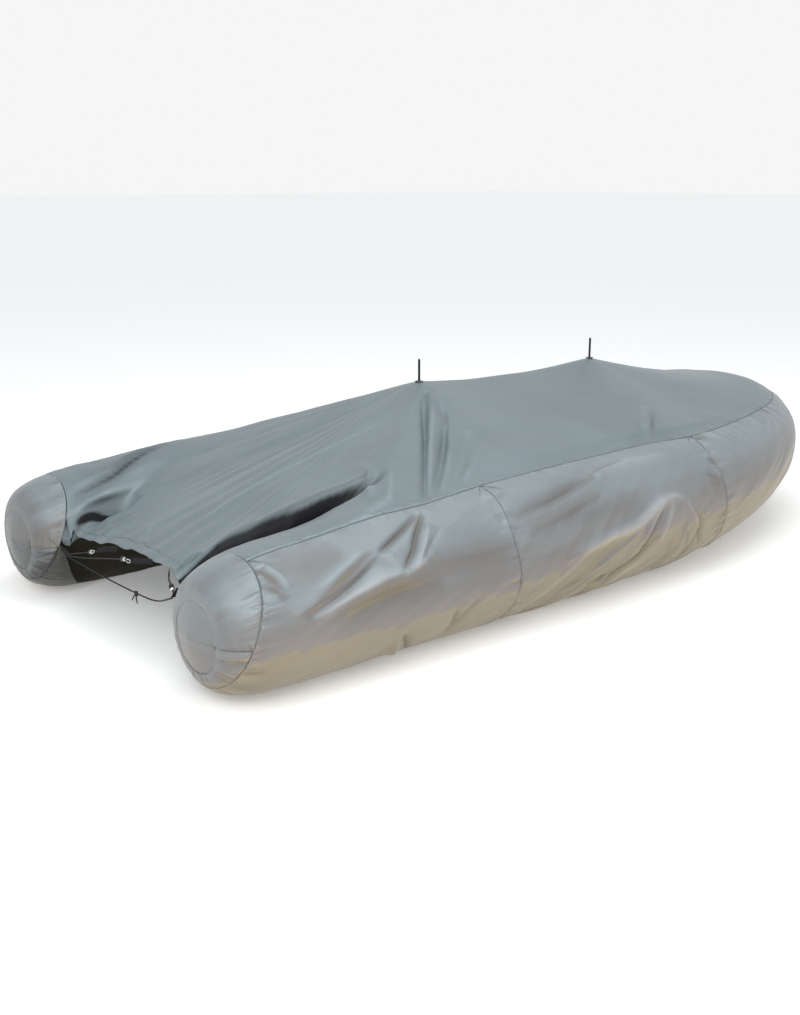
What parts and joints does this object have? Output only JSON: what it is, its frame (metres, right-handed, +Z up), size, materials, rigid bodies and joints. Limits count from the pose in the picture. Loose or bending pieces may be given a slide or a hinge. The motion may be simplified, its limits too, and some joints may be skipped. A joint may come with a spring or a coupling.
{
  "type": "boat cover with support poles",
  "caption": "Fitted silver cloth cover for an inflatable boat: fuller tube sides, a gathered grey top tented on thin poles, and elastic lacing at the stern.",
  "frame": {"origin": "middle of the cover's length and width, on the ground", "axes": "+X towards the bow, +Y to port, +Z up"},
  "size_m": [3.3811, 1.7168, 0.779],
  "materials": {
    "silver_cloth": "silver-coated polyester, semi-gloss",
    "grey_cloth": "silver-grey coated polyester, semi-gloss",
    "black_cord": "braided elastic",
    "black_plastic": "satin",
    "black_webbing": "woven, matt",
    "plated_steel": "satin plated"
  },
  "bodies": {
    "root": {"bow_panel": "silver_cloth", "cap_lower_port": "silver_cloth", "cap_lower_starboard": "silver_cloth", "cap_upper_port": "silver_cloth", "cap_upper_starboard": "silver_cloth", "cord_port_long": "black_cord", "cord_port_mid": "black_cord", "cord_port_short": "black_cord", "cord_starboard": "black_cord", "deck": "grey_cloth", "grommet_aft": "plated_steel", "grommet_fwd": "plated_steel", "lock_mid": "black_plastic", "lock_port": "black_plastic", "lock_starboard": "black_plastic", "pole_aft": "black_plastic", "pole_fwd": "black_plastic", "side_aft_port": "silver_cloth", "side_aft_starboard": "silver_cloth", "side_fwd_port": "silver_cloth", "side_fwd_starboard": "silver_cloth", "tab_flap_mid": "black_webbing", "tab_flap_port": "black_webbing", "tab_flap_starboard": "black_webbing", "tab_port": "black_webbing", "tab_starboard": "black_webbing"}
  },
  "joints": []
}
